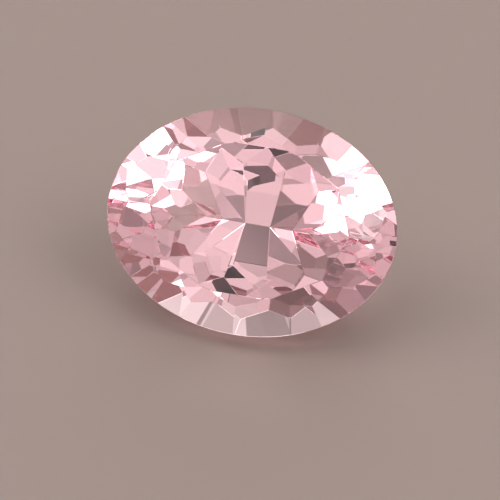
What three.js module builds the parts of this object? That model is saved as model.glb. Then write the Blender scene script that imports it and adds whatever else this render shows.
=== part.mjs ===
// A cut and polished oval gemstone, lying loose on a level surface.
// It leans on one flat facet of its pavilion, so the table looks up and to the front.
// Millimetres, +Z up, +X along the stone, origin at the bottom centre of its bounding box.
import * as THREE from 'three';

// Driving dimensions, measured at the girdle, the widest rim of the stone.
const LENGTH = 18.0;
const WIDTH = 14.0;
const GIRDLE_THICKNESS = 0.35;
const GIRDLE_FLATS = 72;
const TABLE_HEIGHT = 1.97;

// Tiers of facets round the stone. A slope is the angle between a facet and the girdle
// plane, in degrees. A reach is how far out the facet's plane crosses the level that its
// tier is cut from, as a share of the girdle's outline. A turn is the place of the first
// facet, in facet widths from the +X end.
const CROWN_TIERS = [
  { facets: 10, turn: 0, slope: 40.9, reach: 1.0 },
  { facets: 20, turn: 0.5, slope: 41.8, reach: 1.0 },
];
const STAR_TIER = { facets: 10, turn: 0.5, slope: 30.2, reach: 0.66 };
const PAVILION_TIERS = [
  { facets: 16, turn: 0.5, slope: 61.2, reach: 1.0 },
  { facets: 16, turn: 0.5, slope: 47.1, reach: 1.023 },
  { facets: 16, turn: 0, slope: 41.5, reach: 1.116 },
];

// The stone leans on this facet of the last pavilion tier, counted from the +X end: the
// one in the middle of its long side.
const RESTING_FACET = 12;

// The rounding that arithmetic leaves, in mm. A point this close to a plane is on it.
const ROUNDING = 1e-6;
const ON_PLANE = 20 * ROUNDING;
const SAME_CORNER = 10 * ROUNDING;

const radians = THREE.MathUtils.degToRad;

// A flat cut keeps what lies behind its plane.
function flatCut(normal, point) {
  return { normal, distance: normal.dot(point) };
}

// A ring of cuts tangent to the girdle's outline, scaled by the tier's reach.
// side is +1 above the girdle and -1 below it.
function ringOfCuts({ facets, turn, slope, reach }, height, side) {
  const cuts = [];
  for (let i = 0; i < facets; i += 1) {
    const angle = ((i + turn) * 2 * Math.PI) / facets;
    const lengthwise = Math.cos(angle);
    const crosswise = Math.sin(angle);
    const point = new THREE.Vector3((lengthwise * LENGTH) / 2, (crosswise * WIDTH) / 2, 0);
    point.multiplyScalar(reach).setZ(height);
    const normal = new THREE.Vector3(lengthwise / LENGTH, crosswise / WIDTH, 0);
    normal.normalize().multiplyScalar(Math.sin(radians(slope)));
    normal.z = side * Math.cos(radians(slope));
    cuts.push(flatCut(normal, point));
  }
  return cuts;
}

function crownCuts() {
  const rim = GIRDLE_THICKNESS / 2;
  const top = rim + TABLE_HEIGHT;
  const table = flatCut(new THREE.Vector3(0, 0, 1), new THREE.Vector3(0, 0, top));
  const tiers = CROWN_TIERS.flatMap((tier) => ringOfCuts(tier, rim, 1));
  return [table, ...tiers, ...ringOfCuts(STAR_TIER, top, 1)];
}

function girdleCuts() {
  return ringOfCuts({ facets: GIRDLE_FLATS, turn: 0.5, slope: 90, reach: 1.0 }, 0, 1);
}

function pavilionCuts() {
  return PAVILION_TIERS.map((tier) => ringOfCuts(tier, -GIRDLE_THICKNESS / 2, -1));
}

// The point where three cuts meet, or null where two of them are parallel.
function meetingPoint(a, b, c) {
  const bc = new THREE.Vector3().crossVectors(b.normal, c.normal);
  const ca = new THREE.Vector3().crossVectors(c.normal, a.normal);
  const ab = new THREE.Vector3().crossVectors(a.normal, b.normal);
  const volume = a.normal.dot(bc);
  if (Math.abs(volume) < ROUNDING) return null;
  const point = bc.multiplyScalar(a.distance);
  point.addScaledVector(ca, b.distance).addScaledVector(ab, c.distance);
  return point.divideScalar(volume);
}

// Every corner of the solid that is left when all the cuts are made.
function cornersOf(cuts) {
  const corners = [];
  for (let i = 0; i < cuts.length; i += 1) {
    for (let j = i + 1; j < cuts.length; j += 1) {
      for (let k = j + 1; k < cuts.length; k += 1) {
        const point = meetingPoint(cuts[i], cuts[j], cuts[k]);
        const kept = point && cuts.every((cut) => cut.normal.dot(point) < cut.distance + ROUNDING);
        const known = kept && corners.some((corner) => corner.distanceTo(point) < SAME_CORNER);
        if (kept && !known) corners.push(point);
      }
    }
  }
  return corners;
}

// The corners on one cut, in order round its facet and anticlockwise from outside.
function facetLoop(cut, corners) {
  const gap = (corner) => Math.abs(cut.normal.dot(corner) - cut.distance);
  const loop = corners.filter((corner) => gap(corner) < ON_PLANE);
  const centre = new THREE.Vector3();
  loop.forEach((corner) => centre.addScaledVector(corner, 1 / loop.length));
  const first = new THREE.Vector3().subVectors(loop[0] ?? centre, centre).normalize();
  const second = new THREE.Vector3().crossVectors(cut.normal, first);
  const turnOf = (corner) => {
    const arm = new THREE.Vector3().subVectors(corner, centre);
    return Math.atan2(arm.dot(second), arm.dot(first));
  };
  return loop.sort((a, b) => turnOf(a) - turnOf(b));
}

// The solid's skin: each facet's loop of corners as a fan of triangles.
function gemGeometry(cuts) {
  const corners = cornersOf(cuts);
  const triangles = [];
  for (const cut of cuts) {
    const loop = facetLoop(cut, corners).map((corner) => corners.indexOf(corner));
    for (let i = 1; i + 1 < loop.length; i += 1) triangles.push(loop[0], loop[i], loop[i + 1]);
  }
  const geometry = new THREE.BufferGeometry().setFromPoints(corners);
  geometry.setIndex(triangles);
  return geometry;
}

// Turn the stone until its resting facet is level and underneath and its length lies
// along X, then set the middle of its box over the origin.
function layDown(geometry, restingCut) {
  const down = new THREE.Vector3(0, 0, -1);
  const lean = new THREE.Quaternion().setFromUnitVectors(restingCut.normal, down);
  geometry.applyQuaternion(lean);
  const lengthAxis = new THREE.Vector3(1, 0, 0).applyQuaternion(lean);
  geometry.rotateZ(-Math.atan2(lengthAxis.y, lengthAxis.x));
  geometry.computeBoundingBox();
  const { min, max } = geometry.boundingBox;
  geometry.translate(-(min.x + max.x) / 2, -(min.y + max.y) / 2, -min.z);
}

function gemstone() {
  const pavilion = pavilionCuts();
  const geometry = gemGeometry([...crownCuts(), ...girdleCuts(), ...pavilion.flat()]);
  layDown(geometry, pavilion.at(-1)[RESTING_FACET]);
  const crystal = new THREE.MeshStandardMaterial({
    color: 0xe8b4bc,
    roughness: 0.02,
    metalness: 0,
    transparent: true,
    opacity: 0.6,
    flatShading: true,
  });
  const mesh = new THREE.Mesh(geometry, crystal);
  mesh.name = 'gemstone';
  return mesh;
}

const group = new THREE.Group();
group.add(gemstone());

export default group;
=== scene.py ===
"""A cut and polished oval morganite, leaning on one facet of its pavilion on a pale floor."""
import math

import bmesh
import bpy
from mathutils import Matrix, Vector

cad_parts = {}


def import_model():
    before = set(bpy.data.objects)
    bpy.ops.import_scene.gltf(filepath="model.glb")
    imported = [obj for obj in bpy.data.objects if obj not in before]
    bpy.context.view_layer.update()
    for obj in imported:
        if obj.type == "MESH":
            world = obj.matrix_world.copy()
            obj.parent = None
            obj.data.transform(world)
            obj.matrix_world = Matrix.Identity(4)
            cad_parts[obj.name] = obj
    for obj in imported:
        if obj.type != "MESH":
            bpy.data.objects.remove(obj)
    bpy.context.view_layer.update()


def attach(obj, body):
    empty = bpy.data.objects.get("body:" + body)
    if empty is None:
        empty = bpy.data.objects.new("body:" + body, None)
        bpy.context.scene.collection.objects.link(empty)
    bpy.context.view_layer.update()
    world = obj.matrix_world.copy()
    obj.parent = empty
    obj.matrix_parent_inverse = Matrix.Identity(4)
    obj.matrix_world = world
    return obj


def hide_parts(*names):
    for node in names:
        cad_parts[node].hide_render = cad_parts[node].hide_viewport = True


MM = 0.001

# The stone's names in the frame.
STONE_NODE = "gemstone"
STONE_BODY = "root"

# The crystal. In one metre it absorbs its density times one minus the tint.
STONE_IOR = 1.583
STONE_SURFACE = (1.0, 0.98, 0.95)
STONE_TINT = (0.96, 0.08, 0.34)
STONE_DENSITY = 25.0

# Its finish, each from its smoothest place to its roughest: polished facets with faint
# smears, and a finely ground girdle.
POLISH_ROUGHNESS = (0.004, 0.03)
SMEAR_SIZE = 3.0 * MM
GRIND_ROUGHNESS = (0.14, 0.28)
GRAIN_SIZE = 0.05 * MM
NOISE_DETAIL = 3.0
NOISE_RANGE = (0.45, 0.75)

# The place of the girdle's material in the stone's list. The polished one comes first.
GIRDLE_MATERIAL = 1

# Its facets. Triangles within the flatness of each other are one facet, and corners closer
# than the weld distance are one corner. A girdle facet leans no more than its share out of
# the upright. Each edge is honed this far into both of its facets.
FLATNESS = math.radians(1.0)
WELD_DISTANCE = 0.001 * MM
GIRDLE_LEAN = 0.05
EDGE_OFFSET = 0.018 * MM

# The camera, from the photograph's viewing angle.
VIEW_AZIMUTH = 8.1
VIEW_ELEVATION = 46.6
VIEW_ROLL = 3.6
VIEW_DISTANCE = 0.6
FRAME_WIDTH = 30.75 * MM
STONE_ABOVE_MIDDLE = 0.0554
STONE_RIGHT_OF_MIDDLE = 0.0046
SENSOR_WIDTH = 36.0
CLIP_START = 0.01
CLIP_END = 5.0

# The floor.
FLOOR_SIZE = 1.2
FLOOR_GAP = 0.03 * MM
FLOOR_COLOUR = (0.245, 0.19, 0.168)
FLOOR_ROUGHNESS = 0.6

# The room's light, all from far away. The walls brighten from the floor to the ceiling and
# are dimmer at the back than at the front. They are a grid of panels with darker gaps, in
# columns all round the room and rows from the floor to overhead. A gap's width is a share
# of its panel.
WALL_COLOUR = (1.0, 0.93, 0.905)
WALL_BRIGHTNESS = 0.537
CEILING_BRIGHTNESS = 0.94
CEILING_CURVE = 1.27
BACK_WALL_DIMMING = 0.25
PANEL_COLUMNS = 28
PANEL_ROWS = 5
COLUMN_GAP = 0.1
ROW_GAP = 0.15
GAP_SOFTNESS = 0.085
GAP_DARKNESS = 0.48

# A lamp is a soft round patch of the room: degrees right of the front and above the floor,
# degrees from its middle to its edge, the share of that which is soft, and its brightness.
# A flag is a dark one.
LAMPS = {
    "left_window": (-94, 38.5, 15.5, 0.5, 2.65),
    "left_wall": (-86.5, 27.5, 29, 0.73, 1.5),
    "left_skylight": (-103, 57.5, 23, 0.46, 2.25),
    "front_skylight": (-48, 51, 14.5, 0.87, 0.5),
    "front_lamp": (14.5, 58, 13, 0.06, 1.1),
    "right_window": (85, 44, 10.5, 0.95, 1.95),
    "right_skylight": (100.5, 54, 25.5, 0.85, 2.75),
    "right_wall": (110, 36, 47, 0.46, 0.5),
    "back_glow": (-176, 3, 34, 0.08, 1.7),
    "back_skylight": (-169, 50.5, 18, 0.95, 1.6),
    "front_flag": (-61.5, 37, 43.5, 0.94, -0.49),
}

# A dark card above the camera.
CARD_AZIMUTH = 3.5
CARD_ELEVATION = 60.5
CARD_RADIUS = 13.0
CARD_SOFTNESS = 0.2
CARD_BRIGHTNESS = 0.03

# How often light may turn on its way through the stone, off a polished face and off the
# floor, and how much a reflection is blurred.
STONE_BOUNCES = 24
GLOSS_BOUNCES = 16
FLOOR_BOUNCES = 3
GLOSS_BLUR = 0.2

# The pattern that each pixel's light paths follow. This one leaves no stipple in the stone.
PATH_PATTERN = "TABULATED_SOBOL"


def facets_of(node):
    """The node's solid as a bmesh with one polygon for each flat facet."""
    solid = bmesh.new()
    solid.from_mesh(node.data)
    bmesh.ops.remove_doubles(solid, verts=solid.verts, dist=WELD_DISTANCE)
    bmesh.ops.dissolve_limit(solid, angle_limit=FLATNESS, verts=solid.verts, edges=solid.edges)
    bmesh.ops.recalc_face_normals(solid, faces=solid.faces)
    return solid


def table_normal(solid):
    """The outward direction of the table, the widest facet that looks up."""
    upper = [face for face in solid.faces if face.normal.z > 0]
    return max(upper, key=lambda face: face.calc_area()).normal.copy()


def girdle_faces(solid, up):
    return [face for face in solid.faces if abs(face.normal.dot(up)) < GIRDLE_LEAN]


def girdle_centre(faces):
    corners = {vert for face in faces for vert in face.verts}
    total = Vector()
    for vert in corners:
        total += vert.co
    return total / len(corners)


def hone_edges(solid):
    """Give every edge between two facets a narrow flat of its own."""
    bmesh.ops.bevel(
        solid,
        geom=solid.edges[:],
        offset=EDGE_OFFSET,
        offset_type="OFFSET",
        segments=1,
        profile=0.5,
        affect="EDGES",
        clamp_overlap=False,
        material=-1,
    )


def flat_mesh(name, solid):
    """A plain mesh of the solid, flat shaded, with its material numbers."""
    solid.verts.index_update()
    corners = [vert.co[:] for vert in solid.verts]
    faces = [[vert.index for vert in face.verts] for face in solid.faces]
    mesh = bpy.data.meshes.new(name)
    mesh.from_pydata(corners, [], faces)
    for polygon, face in zip(mesh.polygons, solid.faces):
        polygon.material_index = face.material_index
        polygon.use_smooth = False
    return mesh


def shader_nodes(name):
    material = bpy.data.materials.new(name)
    material.use_nodes = True
    nodes = material.node_tree.nodes
    nodes.clear()
    return material, nodes, material.node_tree.links


def calculated(nodes, links, kind, operation, values):
    """A new node that works on sockets and plain values, in the order of its inputs."""
    node = nodes.new(kind)
    node.operation = operation
    for socket, value in zip(node.inputs, values):
        if isinstance(value, bpy.types.NodeSocket):
            links.new(value, socket)
        else:
            socket.default_value = value
    return node


def number(nodes, links, operation, *values):
    node = calculated(nodes, links, "ShaderNodeMath", operation, values)
    return node.outputs["Value"]


def vector(nodes, links, operation, *values):
    node = calculated(nodes, links, "ShaderNodeVectorMath", operation, values)
    return node.outputs["Value" if operation == "DOT_PRODUCT" else "Vector"]


def ramp(nodes, links, value, start, end, low, high, curve="LINEAR"):
    """A value mapped from start and end to low and high, level beyond both."""
    node = nodes.new("ShaderNodeMapRange")
    node.interpolation_type = curve
    node.inputs["From Min"].default_value = start
    node.inputs["From Max"].default_value = end
    node.inputs["To Min"].default_value = low
    node.inputs["To Max"].default_value = high
    links.new(value, node.inputs["Value"])
    return node.outputs["Result"]


def crystal_shader(nodes, links):
    """Clear pink crystal: a polished surface round a body that absorbs a little green."""
    output = nodes.new("ShaderNodeOutputMaterial")
    surface = nodes.new("ShaderNodeBsdfPrincipled")
    surface.inputs["Base Color"].default_value = (*STONE_SURFACE, 1.0)
    surface.inputs["IOR"].default_value = STONE_IOR
    surface.inputs["Transmission Weight"].default_value = 1.0
    body = nodes.new("ShaderNodeVolumeAbsorption")
    body.inputs["Color"].default_value = (*STONE_TINT, 1.0)
    body.inputs["Density"].default_value = STONE_DENSITY
    links.new(surface.outputs["BSDF"], output.inputs["Surface"])
    links.new(body.outputs["Volume"], output.inputs["Volume"])
    return surface


def uneven_roughness(nodes, links, surface, patch_size, limits):
    """Roughness that wanders between two limits over patches of one size."""
    place = nodes.new("ShaderNodeTexCoord")
    noise = nodes.new("ShaderNodeTexNoise")
    noise.inputs["Scale"].default_value = 1.0 / patch_size
    noise.inputs["Detail"].default_value = NOISE_DETAIL
    links.new(place.outputs["Object"], noise.inputs["Vector"])
    roughness = ramp(nodes, links, noise.outputs["Fac"], *NOISE_RANGE, *limits)
    links.new(roughness, surface.inputs["Roughness"])


def polished_material():
    material, nodes, links = shader_nodes("morganite_polished")
    surface = crystal_shader(nodes, links)
    uneven_roughness(nodes, links, surface, SMEAR_SIZE, POLISH_ROUGHNESS)
    return material


def girdle_material():
    material, nodes, links = shader_nodes("morganite_girdle")
    surface = crystal_shader(nodes, links)
    uneven_roughness(nodes, links, surface, GRAIN_SIZE, GRIND_ROUGHNESS)
    return material


def floor_material():
    material, nodes, links = shader_nodes("floor_pale")
    output = nodes.new("ShaderNodeOutputMaterial")
    surface = nodes.new("ShaderNodeBsdfPrincipled")
    surface.inputs["Base Color"].default_value = (*FLOOR_COLOUR, 1.0)
    surface.inputs["Roughness"].default_value = FLOOR_ROUGHNESS
    links.new(surface.outputs["BSDF"], output.inputs["Surface"])
    return material


def cut_stone(node):
    """The stone, with polished facets and edges and a ground girdle, and its girdle's centre."""
    solid = facets_of(node)
    girdle = girdle_faces(solid, table_normal(solid))
    for face in girdle:
        face.material_index = GIRDLE_MATERIAL
    centre = girdle_centre(girdle)
    hone_edges(solid)
    mesh = flat_mesh("cut_stone", solid)
    solid.free()
    mesh.materials.append(polished_material())
    mesh.materials.append(girdle_material())
    stone = bpy.data.objects.new("cut_stone", mesh)
    bpy.context.scene.collection.objects.link(stone)
    return stone, centre


def floor():
    half = FLOOR_SIZE / 2
    corners = [(-half, -half, 0), (half, -half, 0), (half, half, 0), (-half, half, 0)]
    mesh = bpy.data.meshes.new("floor")
    mesh.from_pydata(corners, [], [(0, 1, 2, 3)])
    mesh.materials.append(floor_material())
    sheet = bpy.data.objects.new("floor", mesh)
    sheet.location.z = -FLOOR_GAP
    bpy.context.scene.collection.objects.link(sheet)


def toward(azimuth, elevation):
    """A unit vector at degrees right of the front (-Y) and degrees above the floor."""
    turn = math.radians(azimuth)
    rise = math.radians(elevation)
    level = math.cos(rise)
    return Vector((math.sin(turn) * level, -math.cos(turn) * level, math.sin(rise)))


def camera(centre):
    """The camera, with the girdle's centre at its place in the picture."""
    data = bpy.data.cameras.new("camera")
    eye = bpy.data.objects.new("camera", data)
    bpy.context.scene.collection.objects.link(eye)
    back = toward(VIEW_AZIMUTH, VIEW_ELEVATION)
    level = back.to_track_quat("Z", "Y").to_matrix()
    turn = level @ Matrix.Rotation(math.radians(VIEW_ROLL), 3, "Z")
    right = turn.col[0]
    above = turn.col[1]
    aim = centre - (above * STONE_ABOVE_MIDDLE + right * STONE_RIGHT_OF_MIDDLE) * FRAME_WIDTH
    eye.matrix_world = Matrix.Translation(aim + back * VIEW_DISTANCE) @ turn.to_4x4()
    data.sensor_width = SENSOR_WIDTH
    data.lens = SENSOR_WIDTH * VIEW_DISTANCE / FRAME_WIDTH
    data.clip_start = CLIP_START
    data.clip_end = CLIP_END
    bpy.context.scene.camera = eye


def round_patch(nodes, links, direction, azimuth, elevation, radius, softness):
    """1 inside a round patch of the room, 0 outside, with a soft edge between."""
    facing = vector(nodes, links, "DOT_PRODUCT", direction, toward(azimuth, elevation))
    edge = math.cos(math.radians(radius))
    heart = math.cos(math.radians(radius * (1.0 - softness)))
    return ramp(nodes, links, facing, edge, heart, 0.0, 1.0, "SMOOTHSTEP")


def gap_lines(nodes, links, angle, panel, width):
    """1 on the gaps between panels, 0 on the panels, where a panel spans so many radians.

    A place is counted in panels, so none is further than half a panel from a gap.
    """
    place = number(nodes, links, "MULTIPLY", angle, 1.0 / panel)
    distance = number(nodes, links, "PINGPONG", place, 0.5)
    inner = (width - GAP_SOFTNESS) / 2
    outer = (width + GAP_SOFTNESS) / 2
    return ramp(nodes, links, distance, inner, outer, 1.0, 0.0, "SMOOTHSTEP")


def panels(nodes, links, place):
    """What the gaps between the panels leave of the room's light."""
    azimuth = number(nodes, links, "ARCTAN2", place.outputs["X"], place.outputs["Y"])
    elevation = number(nodes, links, "ARCSINE", place.outputs["Z"])
    columns = gap_lines(nodes, links, azimuth, 2.0 * math.pi / PANEL_COLUMNS, COLUMN_GAP)
    rows = gap_lines(nodes, links, elevation, 0.5 * math.pi / PANEL_ROWS, ROW_GAP)
    gaps = number(nodes, links, "MAXIMUM", columns, rows)
    return ramp(nodes, links, gaps, 0.0, 1.0, 1.0, 1.0 - GAP_DARKNESS)


def wall_light(nodes, links, place):
    """The even light of walls and ceiling."""
    height = number(nodes, links, "MAXIMUM", place.outputs["Z"], 0.0)
    rise = number(nodes, links, "POWER", height, CEILING_CURVE)
    level = ramp(nodes, links, rise, 0.0, 1.0, WALL_BRIGHTNESS, CEILING_BRIGHTNESS)
    front = 1.0 + BACK_WALL_DIMMING
    back = 1.0 - BACK_WALL_DIMMING
    dimming = ramp(nodes, links, place.outputs["Y"], -1.0, 1.0, front, back)
    light = number(nodes, links, "MULTIPLY", level, dimming)
    return vector(nodes, links, "MULTIPLY", light, WALL_COLOUR)


def lamp_light(nodes, links, direction, light):
    """The light with each lamp's added, and never below none."""
    for azimuth, elevation, radius, softness, brightness in LAMPS.values():
        patch = round_patch(nodes, links, direction, azimuth, elevation, radius, softness)
        strength = (brightness, brightness, brightness)
        light = vector(nodes, links, "MULTIPLY_ADD", patch, strength, light)
    return vector(nodes, links, "MAXIMUM", light, (0.0, 0.0, 0.0))


def card(nodes, links, direction):
    """What the dark card leaves of the room's light."""
    patch = round_patch(
        nodes, links, direction, CARD_AZIMUTH, CARD_ELEVATION, CARD_RADIUS, CARD_SOFTNESS
    )
    return ramp(nodes, links, patch, 0.0, 1.0, 1.0, CARD_BRIGHTNESS)


def room():
    """Walls, ceiling, lamps and the card, as light from far away."""
    world = bpy.data.worlds.new("room")
    world.use_nodes = True
    nodes = world.node_tree.nodes
    links = world.node_tree.links
    direction = nodes.new("ShaderNodeTexCoord").outputs["Generated"]
    place = nodes.new("ShaderNodeSeparateXYZ")
    links.new(direction, place.inputs["Vector"])
    light = lamp_light(nodes, links, direction, wall_light(nodes, links, place))
    light = vector(nodes, links, "MULTIPLY", light, panels(nodes, links, place))
    light = vector(nodes, links, "MULTIPLY", light, card(nodes, links, direction))
    links.new(light, nodes["Background"].inputs["Color"])
    bpy.context.scene.world = world


def light_paths():
    cycles = bpy.context.scene.cycles
    cycles.max_bounces = STONE_BOUNCES
    cycles.transmission_bounces = STONE_BOUNCES
    cycles.glossy_bounces = GLOSS_BOUNCES
    cycles.diffuse_bounces = FLOOR_BOUNCES
    cycles.caustics_refractive = True
    cycles.caustics_reflective = True
    cycles.blur_glossy = GLOSS_BLUR
    cycles.sampling_pattern = PATH_PATTERN
    bpy.context.scene.view_settings.view_transform = "Standard"


def main():
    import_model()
    stone, centre = cut_stone(bpy.data.objects[STONE_NODE])
    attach(stone, STONE_BODY)
    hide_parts(STONE_NODE)
    floor()
    room()
    light_paths()
    camera(centre)


main()
